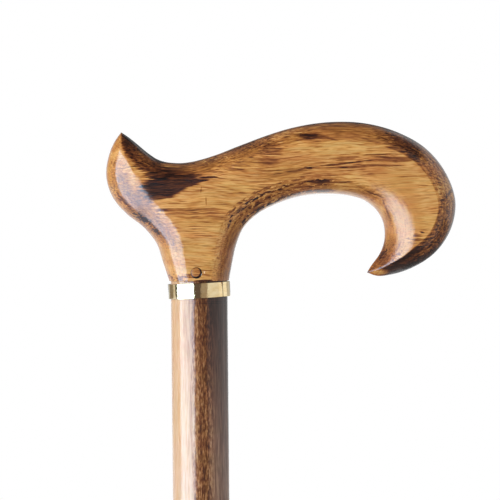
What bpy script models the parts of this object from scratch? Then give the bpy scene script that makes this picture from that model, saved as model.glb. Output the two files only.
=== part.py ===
# Derby walking cane: a wooden handle and shaft, a brass collar and a rubber ferrule.
# Metres, +Z up. The origin is on the shaft's axis, where the ferrule meets the floor.
# The handle lies in the XZ plane: its beak points to -X and its nose to +X.

import math

import bmesh
import bpy
from mathutils import Vector

MM = 0.001

# Overall sizes
CANE_HEIGHT = 920 * MM  # floor to the top of the grip
HANDLE_LENGTH = 129.1 * MM  # back of the beak to front of the nose
HANDLE_THICKNESS = 26 * MM  # flat face to flat face, over the neck
NOSE_THICKNESS = 24 * MM  # the same at the front of the nose
FIT_GAP = 0.3 * MM  # clearance between pieces that touch

# Shaft: turned, parallel at the top, then tapered, and parallel again where the ferrule sits
SHAFT_DIAMETER = 21 * MM
FOOT_DIAMETER = 18 * MM
PARALLEL_LENGTH = 300 * MM  # from the handle down to where the taper starts
SHAFT_EDGE = 0.6 * MM  # chamfer round both ends
TENON_DIAMETER = 13 * MM
TENON_LENGTH = 30 * MM
TENON_CHAMFER = 1 * MM
FERRULE_SEAT_SPARE = 2 * MM  # the parallel foot shows this much above the ferrule
TAPER_RINGS = 6

# Handle: how it meets the shaft, and how its edges are rounded over
SHOULDER_LIP = 0.6 * MM  # handle's neck stands this far proud of the shaft
SOCKET_SPARE = 2 * MM  # glue space above the tenon
NECK_FLARE_HEIGHT = 20 * MM  # from the neck's end up to full thickness
TIP_REACH = 30 * MM  # the beak and the nose thin out over this length
TIP_THINNING = 0.42  # share of the thickness lost at the very tip
RIDGE_SHARPNESS = 5  # higher gives a crisper ridge where two round-overs meet
FACET_REACH = 26 * MM  # towards the nose's tip the round-overs straighten over this length
ELLIPSE_POWER = 2  # a round-over is a quarter ellipse; a power of 1 would be a plane
FACET_POWER = 1.1  # at the nose's tip, nearly a plane
STEPS_BETWEEN_ROWS = 2
STEPS_ACROSS = 14
NECK_STEPS = 12
ON_OUTLINE = 0.001 * MM  # a point this near the outline lies on it

# Peg: driven front to back through the neck and the tenon
PEG_DIAMETER = 4 * MM
PEG_OFFSET = -0.9 * MM  # sideways from the shaft's axis
PEG_EDGE_WOOD = 0.8 * MM  # wood left between its hole and the neck's end
PEG_RECESS = 0.2 * MM  # its ends lie this far below the surface

# Collar: a band rolled from brass strip, a little askew
COLLAR_HEIGHT = 5.5 * MM
COLLAR_WALL = 0.55 * MM
COLLAR_TILT = math.radians(2.5)
COLLAR_SEAM = 0.3 * MM
COLLAR_SEAM_ANGLE = math.radians(50)  # from the front face round towards +X
COLLAR_BEVEL = 0.12 * MM

# Ferrule: a rubber tip with a steel disc in the bottom of its bore
FERRULE_HEIGHT = 42 * MM
FERRULE_WALL = 3.2 * MM
FERRULE_BASE_DIAMETER = 36 * MM
FERRULE_FLOOR = 9 * MM  # rubber under the disc
FERRULE_BEAD = 0.8 * MM  # how far the rim and the two rings stand out
RING_WIDTH = 2.4 * MM  # flat part of the rim's ring and of the upper ring
FERRULE_FLARE = 2.5  # higher keeps the body slim for longer before it widens to the base
FLARE_STEPS = 6
TREAD_DEPTH = 1.5 * MM
TREAD_LAND = 3 * MM  # width of each ring of the tread, and of each groove
TREAD_CENTRE_RADIUS = 4.5 * MM
DISC_THICKNESS = 1.5 * MM

TURNED_STEPS = 48  # flats round each turned piece
MERGE_DISTANCE = 0.01 * MM
SMOOTH_ANGLE = math.radians(35)

# The handle is a loft, from the beak's tip to the nose's tip. Each row is a line across it, in mm
# from the middle of the neck's end: a point on the lower outline, how wide the round-over is there,
# and the same for the upper outline. The neck's flat end lies between the two tables.
BEAK_ROWS = (
    # lower x, z, round-over, upper x, z, round-over
    (-28.3, 55.1, 9.5, -28.3, 55.1, 11.0),
    (-31.0, 51.3, 10.2, -25.6, 53.25, 12.5),
    (-33.2, 45.6, 11.0, -22.0, 50.3, 10.0),
    (-34.0, 39.4, 12.3, -18.2, 47.1, 9.5),
    (-33.0, 34.2, 13.6, -14.6, 44.8, 8.6),
    (-30.6, 29.4, 14.0, -11.6, 43.9, 8.3),
    (-26.6, 24.9, 13.2, -9.0, 43.6, 8.3),
    (-20.1, 19.6, 11.8, -6.5, 43.5, 8.3),
    (-15.6, 13.8, 10.9, -4.0, 43.7, 8.2),
    (-13.15, 6.4, 9.6, -1.8, 44.05, 8.1),
    (-11.1, 0.0, 8.3, 0.2, 44.5, 8.0),
)
NOSE_ROWS = (
    (11.1, 0.0, 8.3, 6.5, 46.35, 8.0),
    (12.3, 6.4, 8.6, 8.5, 47.05, 7.9),
    (13.95, 13.4, 9.0, 10.7, 47.9, 7.8),
    (16.9, 19.8, 9.2, 13.5, 49.0, 7.7),
    (22.0, 24.5, 8.8, 17.5, 50.5, 7.6),
    (29.0, 28.1, 8.4, 24.0, 52.9, 7.5),
    (38.3, 30.95, 8.2, 35.0, 56.2, 7.4),
    (47.4, 31.65, 8.4, 49.0, 58.2, 7.3),
    (55.6, 30.9, 9.0, 62.0, 57.6, 7.3),
    (61.4, 29.05, 10.4, 74.0, 54.15, 7.2),
    (65.6, 25.7, 12.2, 84.2, 48.15, 7.1),
    (68.1, 21.4, 13.2, 91.4, 39.3, 7.1),
    (68.85, 16.8, 13.0, 95.1, 27.6, 7.1),
    (68.2, 12.3, 10.6, 93.4, 18.5, 7.1),
    (66.6, 8.8, 8.6, 87.8, 9.9, 7.1),
    (65.1, 6.7, 8.2, 79.6, 4.3, 7.1),
    (63.8, 5.0, 8.2, 70.6, 1.45, 7.3),
    (62.9, 3.6, 8.3, 66.0, 1.1, 7.5),
    (62.2, 2.4, 8.4, 62.2, 2.4, 7.6),
)
DRAWN_LENGTH = (max(row[3] for row in NOSE_ROWS) - min(row[0] for row in BEAK_ROWS)) * MM
DRAWN_RISE = max(row[4] for row in NOSE_ROWS) * MM
DRAWN_NECK_RADIUS = NOSE_ROWS[0][0] * MM

# Sizes that follow from those above
HANDLE_SCALE = HANDLE_LENGTH / DRAWN_LENGTH
NECK_RADIUS = SHAFT_DIAMETER / 2 + SHOULDER_LIP
SEAT_HEIGHT = CANE_HEIGHT - DRAWN_RISE * HANDLE_SCALE  # floor to the neck's end
SHOULDER_HEIGHT = SEAT_HEIGHT - FIT_GAP
DISC_HEIGHT = FERRULE_FLOOR + FIT_GAP
FOOT_HEIGHT = DISC_HEIGHT + DISC_THICKNESS + FIT_GAP
BORE_RADIUS = FOOT_DIAMETER / 2 + FIT_GAP
PEG_HOLE_RADIUS = PEG_DIAMETER / 2 + FIT_GAP
PEG_HEIGHT = PEG_EDGE_WOOD + PEG_HOLE_RADIUS  # above the neck's end


def clear_scene():
    for old in list(bpy.data.objects):
        bpy.data.objects.remove(old)


def make_collection(name):
    collection = bpy.data.collections.new(name)
    bpy.context.scene.collection.children.link(collection)
    return collection


def make_material(name, colour, roughness, metallic=0.0, coat=0.0):
    material = bpy.data.materials.new(name)
    material.use_nodes = True
    shader = material.node_tree.nodes["Principled BSDF"]
    shader.inputs["Base Color"].default_value = (*colour, 1)
    shader.inputs["Roughness"].default_value = roughness
    shader.inputs["Metallic"].default_value = metallic
    shader.inputs["Coat Weight"].default_value = coat
    material.diffuse_color = (*colour, 1)
    return material


def make_object(name, mesh, collection, material):
    made = bpy.data.objects.new(name, mesh)
    collection.objects.link(made)
    mesh.materials.append(material)
    return made


def move_to(made, collection):
    for other in list(made.users_collection):
        other.objects.unlink(made)
    collection.objects.link(made)


def shade_smooth(made):
    made.data.shade_smooth()
    made.data.set_sharp_from_angle(angle=SMOOTH_ANGLE)


def turn(name, profile, collection, material):
    """A profile of (radius, height) points, top to bottom down its outer side, turned round Z."""
    mesh = bpy.data.meshes.new(name)
    corners = [(radius, 0, height) for radius, height in profile]
    edges = [(i, i + 1) for i in range(len(corners) - 1)]
    mesh.from_pydata(corners, edges, [])
    made = make_object(name, mesh, collection, material)
    screw = made.modifiers.new("Turned", "SCREW")
    screw.steps = TURNED_STEPS
    screw.render_steps = TURNED_STEPS
    screw.use_merge_vertices = True
    screw.merge_threshold = MERGE_DISTANCE
    screw.use_smooth_shade = False
    return made


def make_cylinder_cutter(name, radius, length, collection):
    bpy.ops.mesh.primitive_cylinder_add(vertices=TURNED_STEPS, radius=radius, depth=length)
    return as_cutter(name, collection)


def make_box_cutter(name, size, collection):
    bpy.ops.mesh.primitive_cube_add(size=1)
    bpy.context.object.scale = size
    bpy.ops.object.transform_apply(location=False, rotation=False, scale=True)
    return as_cutter(name, collection)


def as_cutter(name, collection):
    cutter = bpy.context.object
    cutter.name = name
    move_to(cutter, collection)
    cutter.hide_render = True
    cutter.display_type = "WIRE"
    return cutter


def cut(made, cutter):
    boolean = made.modifiers.new("Cut by " + cutter.name, "BOOLEAN")
    boolean.operation = "DIFFERENCE"
    boolean.solver = "EXACT"
    boolean.object = cutter


def place_point(x, z):
    """A drawn point in mm to the handle's own metres, with the neck's end as wide as the shaft."""
    x *= MM * HANDLE_SCALE
    z *= MM * HANDLE_SCALE
    fade = max(0.0, 1 - z / (NECK_FLARE_HEIGHT * HANDLE_SCALE))
    widened = (NECK_RADIUS - DRAWN_NECK_RADIUS * HANDLE_SCALE) * fade
    return Vector((x + math.copysign(widened, x), z))


def slopes(points):
    """The direction of a smooth line at each point. Neighbours weigh by how near they are."""
    last = len(points) - 1
    gaps = [(points[i + 1] - points[i]).length for i in range(last)]
    chords = [(points[i + 1] - points[i]) / gaps[i] for i in range(last)]
    along = [
        (chords[i - 1] * gaps[i] + chords[i] * gaps[i - 1]) / (gaps[i - 1] + gaps[i])
        for i in range(1, last)
    ]
    start = 1.5 * chords[0] - 0.5 * along[0]
    end = 1.5 * chords[-1] - 0.5 * along[-1]
    return gaps, [start, *along, end]


def smooth_line(points, steps):
    """A smooth line through the points, with steps[i] steps from point i to the next."""
    gaps, along = slopes(points)
    line = []
    for i, gap in enumerate(gaps):
        for step in range(steps[i]):
            t = step / steps[i]
            line.append(
                points[i] * (2 * t**3 - 3 * t**2 + 1)
                + along[i] * (gap * (t**3 - 2 * t**2 + t))
                + points[i + 1] * (3 * t**2 - 2 * t**3)
                + along[i + 1] * (gap * (t**3 - t**2))
            )
    line.append(points[-1])
    return line


def blended(values, steps):
    """The values of the rows, with steps[i] steps on a straight line from value i to the next."""
    result = []
    for i, count in enumerate(steps):
        for step in range(count):
            t = step / count
            result.append(values[i] * (1 - t) + values[i + 1] * t)
    result.append(values[-1])
    return result


def eased(share):
    """0 to 1 with a gentle start and end."""
    share = min(1.0, max(0.0, share))
    return share * share * (3 - 2 * share)


def round_over(distance, width, power):
    """Height of a rounded edge, 0 at the outline and 1 on the flat face."""
    inside = min(1.0, distance / width)
    return (1 - (1 - inside) ** power) ** (1 / power)


class Edge:
    """A stretch of the handle's outline, with the width of the round-over along it."""

    def __init__(self, points, widths, steps):
        self.line = smooth_line(points, steps)
        self.widths = blended(widths, steps)

    def height_at(self, point, power):
        """How high this edge's round-over lets the point rise, from 0 to 1."""
        nearest = math.inf
        width = self.widths[0]
        for i in range(len(self.line) - 1):
            along = self.line[i + 1] - self.line[i]
            share = (point - self.line[i]).dot(along) / along.length_squared
            share = min(1.0, max(0.0, share))
            distance = (point - self.line[i] - along * share).length
            if distance < nearest:
                nearest = distance
                width = self.widths[i] * (1 - share) + self.widths[i + 1] * share
        return 0.0 if nearest < ON_OUTLINE else round_over(nearest, width, power)


class HandleShape:
    """The handle's outline and thickness, in metres from the middle of the neck's end."""

    def __init__(self):
        beak_steps = [STEPS_BETWEEN_ROWS] * (len(BEAK_ROWS) - 1)
        nose_steps = [STEPS_BETWEEN_ROWS] * (len(NOSE_ROWS) - 1)
        rows = BEAK_ROWS + NOSE_ROWS
        back_widths = [row[2] * MM * HANDLE_SCALE for row in BEAK_ROWS]
        under_widths = [row[2] * MM * HANDLE_SCALE for row in NOSE_ROWS]
        top_widths = [row[5] * MM * HANDLE_SCALE for row in rows]
        back_points = [place_point(row[0], row[1]) for row in BEAK_ROWS]
        under_points = [place_point(row[0], row[1]) for row in NOSE_ROWS]
        top_points = [place_point(row[3], row[4]) for row in rows]
        self.back = Edge(back_points, back_widths, beak_steps)
        self.under = Edge(under_points, under_widths, nose_steps)
        self.top = Edge(top_points, top_widths, beak_steps + [NECK_STEPS] + nose_steps)
        neck_end = [
            Vector((-NECK_RADIUS * math.cos(math.pi * step / NECK_STEPS), 0))
            for step in range(1, NECK_STEPS)
        ]
        self.lower_ends = self.back.line + neck_end + self.under.line
        self.upper_ends = self.top.line
        self.tips = (self.top.line[0], self.top.line[-1])
        self.nose_front = max(point.x for point in self.top.line)

    def full_half_thickness(self, point):
        """Half the thickness where no edge is near: the neck's end is square, both tips are thin."""
        forward = eased(point.x / self.nose_front)
        grip = HANDLE_THICKNESS / 2 + (NOSE_THICKNESS - HANDLE_THICKNESS) / 2 * forward
        rise = eased(point.y / (NECK_FLARE_HEIGHT * HANDLE_SCALE))
        half = NECK_RADIUS + (grip - NECK_RADIUS) * rise
        for tip in self.tips:
            nearness = max(0.0, 1 - (point - tip).length / (TIP_REACH * HANDLE_SCALE))
            half *= 1 - TIP_THINNING * nearness**2
        return half

    def edge_power(self, point):
        """How round the edges are there: quarter ellipses, but facets near the nose's tip."""
        from_nose = (point - self.tips[-1]).length / (FACET_REACH * HANDLE_SCALE)
        return ELLIPSE_POWER + (FACET_POWER - ELLIPSE_POWER) * eased(1 - from_nose)

    def half_thickness(self, point):
        power = self.edge_power(point)
        heights = [edge.height_at(point, power) for edge in (self.back, self.under, self.top)]
        if min(heights) <= 0:
            return 0.0
        shortfall = sum((1 / height - 1) ** RIDGE_SHARPNESS for height in heights)
        return self.full_half_thickness(point) / (1 + shortfall ** (1 / RIDGE_SHARPNESS))


def make_handle(shape, collection, cutters, material):
    # The front half, open at the middle plane. Each line across runs from the lower outline to
    # the upper one, with its points closer together near the edges.
    half = bmesh.new()
    lines = []
    for lower, upper in zip(shape.lower_ends, shape.upper_ends):
        if (upper - lower).length < ON_OUTLINE:
            lines.append([half.verts.new((lower.x, 0, lower.y))] * (STEPS_ACROSS + 1))
            continue
        line = []
        for step in range(STEPS_ACROSS + 1):
            share = (1 - math.cos(math.pi * step / STEPS_ACROSS)) / 2
            point = lower.lerp(upper, share)
            line.append(half.verts.new((point.x, -shape.half_thickness(point), point.y)))
        lines.append(line)
    for left, right in zip(lines, lines[1:]):
        for step in range(STEPS_ACROSS):
            corners = [left[step], left[step + 1], right[step + 1], right[step]]
            half.faces.new(list(dict.fromkeys(corners)))
    neck_left = (len(BEAK_ROWS) - 1) * STEPS_BETWEEN_ROWS
    neck_right = neck_left + NECK_STEPS
    half.faces.new([line[0] for line in lines[neck_left : neck_right + 1]])
    bmesh.ops.recalc_face_normals(half, faces=half.faces)
    mesh = bpy.data.meshes.new("handle")
    half.to_mesh(mesh)
    half.free()
    handle = make_object("handle", mesh, collection, material)
    handle.location.z = SEAT_HEIGHT
    mirror = handle.modifiers.new("Back half", "MIRROR")
    mirror.use_axis = (False, True, False)
    mirror.merge_threshold = MERGE_DISTANCE

    socket_depth = TENON_LENGTH + SOCKET_SPARE
    socket = make_cylinder_cutter(
        "socket_cutter", TENON_DIAMETER / 2 + FIT_GAP, 2 * socket_depth, cutters
    )
    socket.location.z = SEAT_HEIGHT
    cut(handle, socket)
    cut(handle, make_peg_hole_cutter(cutters))
    shade_smooth(handle)
    return handle


def make_peg_hole_cutter(cutters):
    hole = bpy.data.objects.get("peg_hole_cutter")
    if hole is None:
        hole = make_cylinder_cutter(
            "peg_hole_cutter", PEG_HOLE_RADIUS, 2 * HANDLE_THICKNESS, cutters
        )
        hole.rotation_euler.x = math.pi / 2
        hole.location = (PEG_OFFSET, 0, SEAT_HEIGHT + PEG_HEIGHT)
    return hole


def make_shaft(collection, cutters, material):
    top_radius = SHAFT_DIAMETER / 2
    foot_radius = FOOT_DIAMETER / 2
    tenon_radius = TENON_DIAMETER / 2
    tenon_top = SHOULDER_HEIGHT + TENON_LENGTH
    taper_top = SHOULDER_HEIGHT - PARALLEL_LENGTH
    taper_foot = FERRULE_HEIGHT + FERRULE_SEAT_SPARE
    profile = [
        (0, tenon_top),
        (tenon_radius - TENON_CHAMFER, tenon_top),
        (tenon_radius, tenon_top - TENON_CHAMFER),
        (tenon_radius, SHOULDER_HEIGHT),
        (top_radius - SHAFT_EDGE, SHOULDER_HEIGHT),
        (top_radius, SHOULDER_HEIGHT - SHAFT_EDGE),
        (top_radius, (SHOULDER_HEIGHT + taper_top) / 2),
    ]
    for ring in range(TAPER_RINGS + 1):
        down = ring / TAPER_RINGS
        radius = top_radius + (foot_radius - top_radius) * down
        profile.append((radius, taper_top + (taper_foot - taper_top) * down))
    profile += [
        (foot_radius, FOOT_HEIGHT + SHAFT_EDGE),
        (foot_radius - SHAFT_EDGE, FOOT_HEIGHT),
        (0, FOOT_HEIGHT),
    ]
    shaft = turn("shaft", profile, collection, material)
    cut(shaft, make_peg_hole_cutter(cutters))
    shade_smooth(shaft)
    return shaft


def make_joint_peg(shape, collection, material):
    face = shape.half_thickness(Vector((PEG_OFFSET, PEG_HEIGHT)))
    bpy.ops.mesh.primitive_cylinder_add(
        vertices=TURNED_STEPS // 2,
        radius=PEG_DIAMETER / 2,
        depth=2 * (face - PEG_RECESS),
        location=(PEG_OFFSET, 0, SEAT_HEIGHT + PEG_HEIGHT),
        rotation=(math.pi / 2, 0, 0),
    )
    peg = bpy.context.object
    peg.name = "joint_peg"
    move_to(peg, collection)
    peg.data.materials.append(material)
    shade_smooth(peg)
    return peg


def make_collar(collection, cutters, material):
    half_height = COLLAR_HEIGHT / 2
    # The bore is wide enough for the band to sit askew on the shaft.
    bore = SHAFT_DIAMETER / 2 + FIT_GAP + half_height * math.tan(COLLAR_TILT)
    outer = bore + COLLAR_WALL
    profile = [
        (bore, -half_height),
        (bore, half_height),
        (outer - COLLAR_BEVEL, half_height),
        (outer, half_height - COLLAR_BEVEL),
        (outer, -half_height + COLLAR_BEVEL),
        (outer - COLLAR_BEVEL, -half_height),
        (bore, -half_height),
    ]
    collar = turn("collar", profile, collection, material)
    drop = half_height * math.cos(COLLAR_TILT) + outer * math.sin(COLLAR_TILT)
    collar.location.z = SEAT_HEIGHT - FIT_GAP - drop
    collar.rotation_euler.y = -COLLAR_TILT

    seam_size = (COLLAR_SEAM, 4 * COLLAR_WALL, 2 * COLLAR_HEIGHT)
    seam = make_box_cutter("seam_cutter", seam_size, cutters)
    seam.parent = collar
    seam.rotation_euler.z = COLLAR_SEAM_ANGLE
    middle = bore + COLLAR_WALL / 2
    seam.location.x = middle * math.sin(COLLAR_SEAM_ANGLE)
    seam.location.y = -middle * math.cos(COLLAR_SEAM_ANGLE)
    cut(collar, seam)
    shade_smooth(collar)
    return collar


def make_ferrule(collection, material):
    bead = FERRULE_BEAD
    wall = BORE_RADIUS + FERRULE_WALL
    base = FERRULE_BASE_DIAMETER / 2
    top = FERRULE_HEIGHT
    body_top = top - RING_WIDTH - 2 * bead
    body_foot = FERRULE_FLOOR
    groove_top = body_foot - RING_WIDTH - 2 * bead
    profile = [
        (0, FERRULE_FLOOR),
        (BORE_RADIUS, FERRULE_FLOOR),
        (BORE_RADIUS, top - bead),
        (BORE_RADIUS + bead, top),
        (wall, top),
        (wall + bead, top - bead),
        (wall + bead, body_top + bead),
        (wall, body_top),
    ]
    # The body widens to the base in a hollow curve, with two moulded rings below it.
    for step in range(1, FLARE_STEPS + 1):
        down = step / FLARE_STEPS
        radius = wall + (base - bead - wall) * down**FERRULE_FLARE
        profile.append((radius, body_top + (body_foot - body_top) * down))
    profile += [
        (base, body_foot - bead),
        (base, groove_top + bead),
        (base - bead, groove_top),
        (base - bead, groove_top - bead),
        (base, groove_top - 2 * bead),
        (base, 2 * bead),
        (base - bead, 0),
    ]
    # The tread: rings and grooves, and a flat disc in the middle that stands on the floor.
    edge = base - bead - TREAD_LAND
    while edge - TREAD_LAND > TREAD_CENTRE_RADIUS:
        profile += [
            (edge, 0),
            (edge, TREAD_DEPTH),
            (edge - TREAD_LAND, TREAD_DEPTH),
            (edge - TREAD_LAND, 0),
        ]
        edge -= 2 * TREAD_LAND
    profile.append((0, 0))
    ferrule = turn("rubber_ferrule", profile, collection, material)
    shade_smooth(ferrule)
    return ferrule


def make_ferrule_disc(collection, material):
    radius = BORE_RADIUS - FIT_GAP
    top = FOOT_HEIGHT - FIT_GAP
    profile = [(0, top), (radius, top), (radius, DISC_HEIGHT), (0, DISC_HEIGHT)]
    disc = turn("ferrule_disc", profile, collection, material)
    shade_smooth(disc)
    return disc


def main():
    clear_scene()
    parts = make_collection("derby_cane")
    cutters = make_collection("cutters")
    scorched_wood = make_material("scorched_wood", (0.48, 0.25, 0.09), 0.3, coat=1.0)
    stained_wood = make_material("stained_wood", (0.30, 0.15, 0.07), 0.3, coat=1.0)
    peg_wood = make_material("peg_wood", (0.30, 0.15, 0.06), 0.4)
    brass = make_material("brass", (0.80, 0.62, 0.30), 0.12, metallic=1.0)
    black_rubber = make_material("black_rubber", (0.02, 0.02, 0.02), 0.6)
    zinc_steel = make_material("zinc_steel", (0.60, 0.60, 0.60), 0.35, metallic=1.0)

    shape = HandleShape()
    make_handle(shape, parts, cutters, scorched_wood)
    make_shaft(parts, cutters, stained_wood)
    make_joint_peg(shape, parts, peg_wood)
    make_collar(parts, cutters, brass)
    make_ferrule(parts, black_rubber)
    make_ferrule_disc(parts, zinc_steel)


main()
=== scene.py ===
import math
from functools import partial

import bmesh
import bpy
import numpy as np
from mathutils import Euler, Matrix, Vector


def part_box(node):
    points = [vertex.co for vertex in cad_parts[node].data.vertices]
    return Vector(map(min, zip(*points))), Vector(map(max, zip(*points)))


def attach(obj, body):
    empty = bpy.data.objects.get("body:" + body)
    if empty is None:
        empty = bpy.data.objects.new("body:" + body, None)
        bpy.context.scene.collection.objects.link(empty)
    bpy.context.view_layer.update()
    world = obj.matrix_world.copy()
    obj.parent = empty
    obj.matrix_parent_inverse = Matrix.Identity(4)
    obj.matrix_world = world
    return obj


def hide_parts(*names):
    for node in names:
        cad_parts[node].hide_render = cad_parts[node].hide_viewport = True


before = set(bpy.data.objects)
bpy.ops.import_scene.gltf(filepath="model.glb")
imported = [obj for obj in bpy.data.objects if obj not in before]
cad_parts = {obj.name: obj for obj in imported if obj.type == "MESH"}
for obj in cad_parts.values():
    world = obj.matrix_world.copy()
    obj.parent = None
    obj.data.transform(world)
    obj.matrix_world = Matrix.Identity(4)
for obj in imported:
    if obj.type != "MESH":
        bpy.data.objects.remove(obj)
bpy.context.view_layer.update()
print("frame loaded:", ", ".join(sorted(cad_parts)))

scene = bpy.context.scene
mm = 0.001
weldDistance = 0.002 * mm
fitGap = 0.3 * mm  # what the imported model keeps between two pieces
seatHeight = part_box("handle")[0].z  # floor to the flat end of the handle's neck
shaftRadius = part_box("shaft")[1].x
neckRadius = shaftRadius + 0.6 * mm  # the neck stands a little proud of the shaft
smoothly = {"interpolation_type": "SMOOTHSTEP"}  # for a Map Range node


# Small helpers

def linear(hexColour):
    # sRGB hex, as read off the photo, to the linear colour that a node takes
    channels = [int(hexColour[i : i + 2], 16) / 255 for i in (1, 3, 5)]
    return (*[c / 12.92 if c <= 0.04045 else ((c + 0.055) / 1.055) ** 2.4 for c in channels], 1)


def setInputs(node, inputs):
    # Socket name or number -> a value, another node for its first output, or one of its outputs
    for socket, value in inputs.items():
        if isinstance(value, bpy.types.Node):
            value = value.outputs[0]
        if isinstance(value, bpy.types.NodeSocket):
            node.id_data.links.new(value, node.inputs[socket])
        else:
            node.inputs[socket].default_value = value


def addNode(tree, kind, inputs=None, stops=None, **settings):
    # stops: for a colour ramp, (place, hex colour) from left to right
    node = tree.nodes.new(kind)
    for name, value in settings.items():
        setattr(node, name, value)
    setInputs(node, inputs or {})
    if stops:
        ramp = node.color_ramp.elements
        while len(ramp) < len(stops):
            ramp.new(1)
        for element, (place, colour) in zip(ramp, stops):
            element.position = place
            element.color = linear(colour)
    return node


def newMaterial(name, shaderInputs):
    # The add function that comes back makes nodes in this material's tree
    material = bpy.data.materials.new(name)
    material.use_nodes = True
    tree = material.node_tree
    shader = tree.nodes["Principled BSDF"]
    setInputs(shader, shaderInputs)
    return material, partial(addNode, tree), shader


def emptyTree(block):
    # For a material or world without a Principled shader: clears its tree, returns its add function
    block.use_nodes = True
    block.node_tree.nodes.clear()
    return partial(addNode, block.node_tree)


def ramped(value, start, end, low=0.0, high=1.0):
    # The inputs of a Map Range node: low up to the value's start, high from its end
    return {"Value": value, "From Min": start, "From Max": end, "To Min": low, "To Max": high}


def addObject(name, mesh, material=None):
    made = bpy.data.objects.new(name, mesh)
    scene.collection.objects.link(made)
    if material:
        mesh.materials.append(material)
    return made


def fromShape(name, shape, material=None):
    # A bmesh becomes an object of its own
    mesh = bpy.data.meshes.new(name)
    shape.to_mesh(mesh)
    shape.free()
    return addObject(name, mesh, material)


def meshFromModifiers(made):
    # The evaluated result becomes the object's own plain mesh
    bpy.context.view_layer.update()
    depsgraph = bpy.context.evaluated_depsgraph_get()
    mesh = bpy.data.meshes.new_from_object(made.evaluated_get(depsgraph))
    made.modifiers.clear()
    old = made.data
    made.data = mesh
    bpy.data.meshes.remove(old)
    mesh.name = made.name


def tidyMesh(mesh):
    shape = bmesh.new()
    shape.from_mesh(mesh)
    bmesh.ops.remove_doubles(shape, verts=shape.verts, dist=weldDistance)
    bmesh.ops.dissolve_degenerate(shape, dist=weldDistance / 4, edges=shape.edges)
    bmesh.ops.recalc_face_normals(shape, faces=shape.faces)
    shape.to_mesh(mesh)
    shape.free()


def cutWith(made, cutter):
    boolean = made.modifiers.new("cut", "BOOLEAN")
    boolean.operation = "DIFFERENCE"
    boolean.solver = "EXACT"
    boolean.object = cutter
    meshFromModifiers(made)
    bpy.data.objects.remove(cutter)
    tidyMesh(made.data)


def rod(name, radius, length, sides, middle, alongY=False):
    place = Matrix.Translation(middle)
    if alongY:
        place = place @ Matrix.Rotation(math.pi / 2, 4, "X")
    shape = bmesh.new()
    bmesh.ops.create_cone(
        shape, cap_ends=True, segments=sides, radius1=radius, radius2=radius, depth=length, matrix=place
    )
    return fromShape(name, shape)


def smoothFaces(made, angle=35):
    made.data.shade_smooth()
    made.data.set_sharp_from_angle(angle=math.radians(angle))


# Handle: a loft between the lower and the upper outline, each edge rounded over. Each row is a line
# across it, in mm from the middle of the neck's end: a point on the lower outline, how wide the
# round-over is there, and the same for the upper outline. The neck's end lies between the tables.
beakRows = (
    # lower x, z, round-over, upper x, z, round-over
    (-28.3, 55.1, 9.5, -28.3, 55.1, 11.0),
    (-31.0, 51.3, 10.2, -25.6, 53.25, 12.5),
    (-33.2, 45.6, 11.0, -22.0, 50.3, 10.0),
    (-34.0, 39.4, 12.3, -18.2, 47.1, 9.5),
    (-33.0, 34.2, 13.6, -14.6, 44.8, 8.6),
    (-30.6, 29.4, 14.0, -11.6, 43.9, 8.3),
    (-26.6, 24.9, 13.2, -9.0, 43.6, 8.3),
    (-20.1, 19.6, 11.8, -6.5, 43.5, 8.3),
    (-15.6, 13.8, 10.9, -4.0, 43.7, 8.2),
    (-13.15, 6.4, 9.6, -1.8, 44.05, 8.1),
    (-11.1, 0.0, 8.3, 0.2, 44.5, 8.0),
)
noseRows = (
    (11.1, 0.0, 8.3, 6.5, 46.35, 8.0),
    (12.3, 6.4, 8.6, 8.5, 47.05, 7.9),
    (13.95, 13.4, 9.0, 10.7, 47.9, 7.8),
    (16.9, 19.8, 9.2, 13.5, 49.0, 7.7),
    (22.0, 24.5, 8.8, 17.5, 50.5, 7.6),
    (29.0, 28.1, 8.4, 24.0, 52.9, 7.5),
    (38.3, 30.95, 8.2, 35.0, 56.2, 7.4),
    (47.4, 31.65, 8.4, 49.0, 58.2, 7.3),
    (55.6, 30.9, 9.0, 62.0, 57.6, 7.3),
    (61.4, 29.05, 10.4, 74.0, 54.15, 7.2),
    (65.6, 25.7, 12.2, 84.2, 48.15, 7.1),
    (68.1, 21.4, 13.2, 91.4, 39.3, 7.1),
    (68.85, 16.8, 13.0, 95.1, 27.6, 7.1),
    (68.2, 12.3, 10.6, 93.4, 18.5, 7.1),
    (66.6, 8.8, 8.6, 87.8, 9.9, 7.1),
    (65.1, 6.7, 8.2, 79.6, 4.3, 7.1),
    (63.8, 5.0, 8.2, 70.6, 1.45, 7.3),
    (62.9, 3.6, 8.3, 66.0, 1.1, 7.5),
    (62.2, 2.4, 8.4, 62.2, 2.4, 7.6),
)
handleShape = {
    "stepsPerRow": 14,
    "stepsAcross": 64,
    "neckSteps": 84,
    "thickness": 26,  # mm, flat face to flat face over the neck
    "noseThickness": 24,
    "flareHeight": 20,  # the neck's end widens to the full thickness over this
    "tipReach": 30,
    "tipThinning": 0.42,
    "facetReach": 26,  # this near the nose's tip, the round-overs straighten into facets
    "facetPower": 1.1,
    "ridgeSharpness": 5,
    "onOutline": 0.001,  # mm
    "leastHeight": 1e-4,
    "socketRadius": 6.8,
    "socketDepth": 32,
    "socketSides": 96,
}
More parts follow.
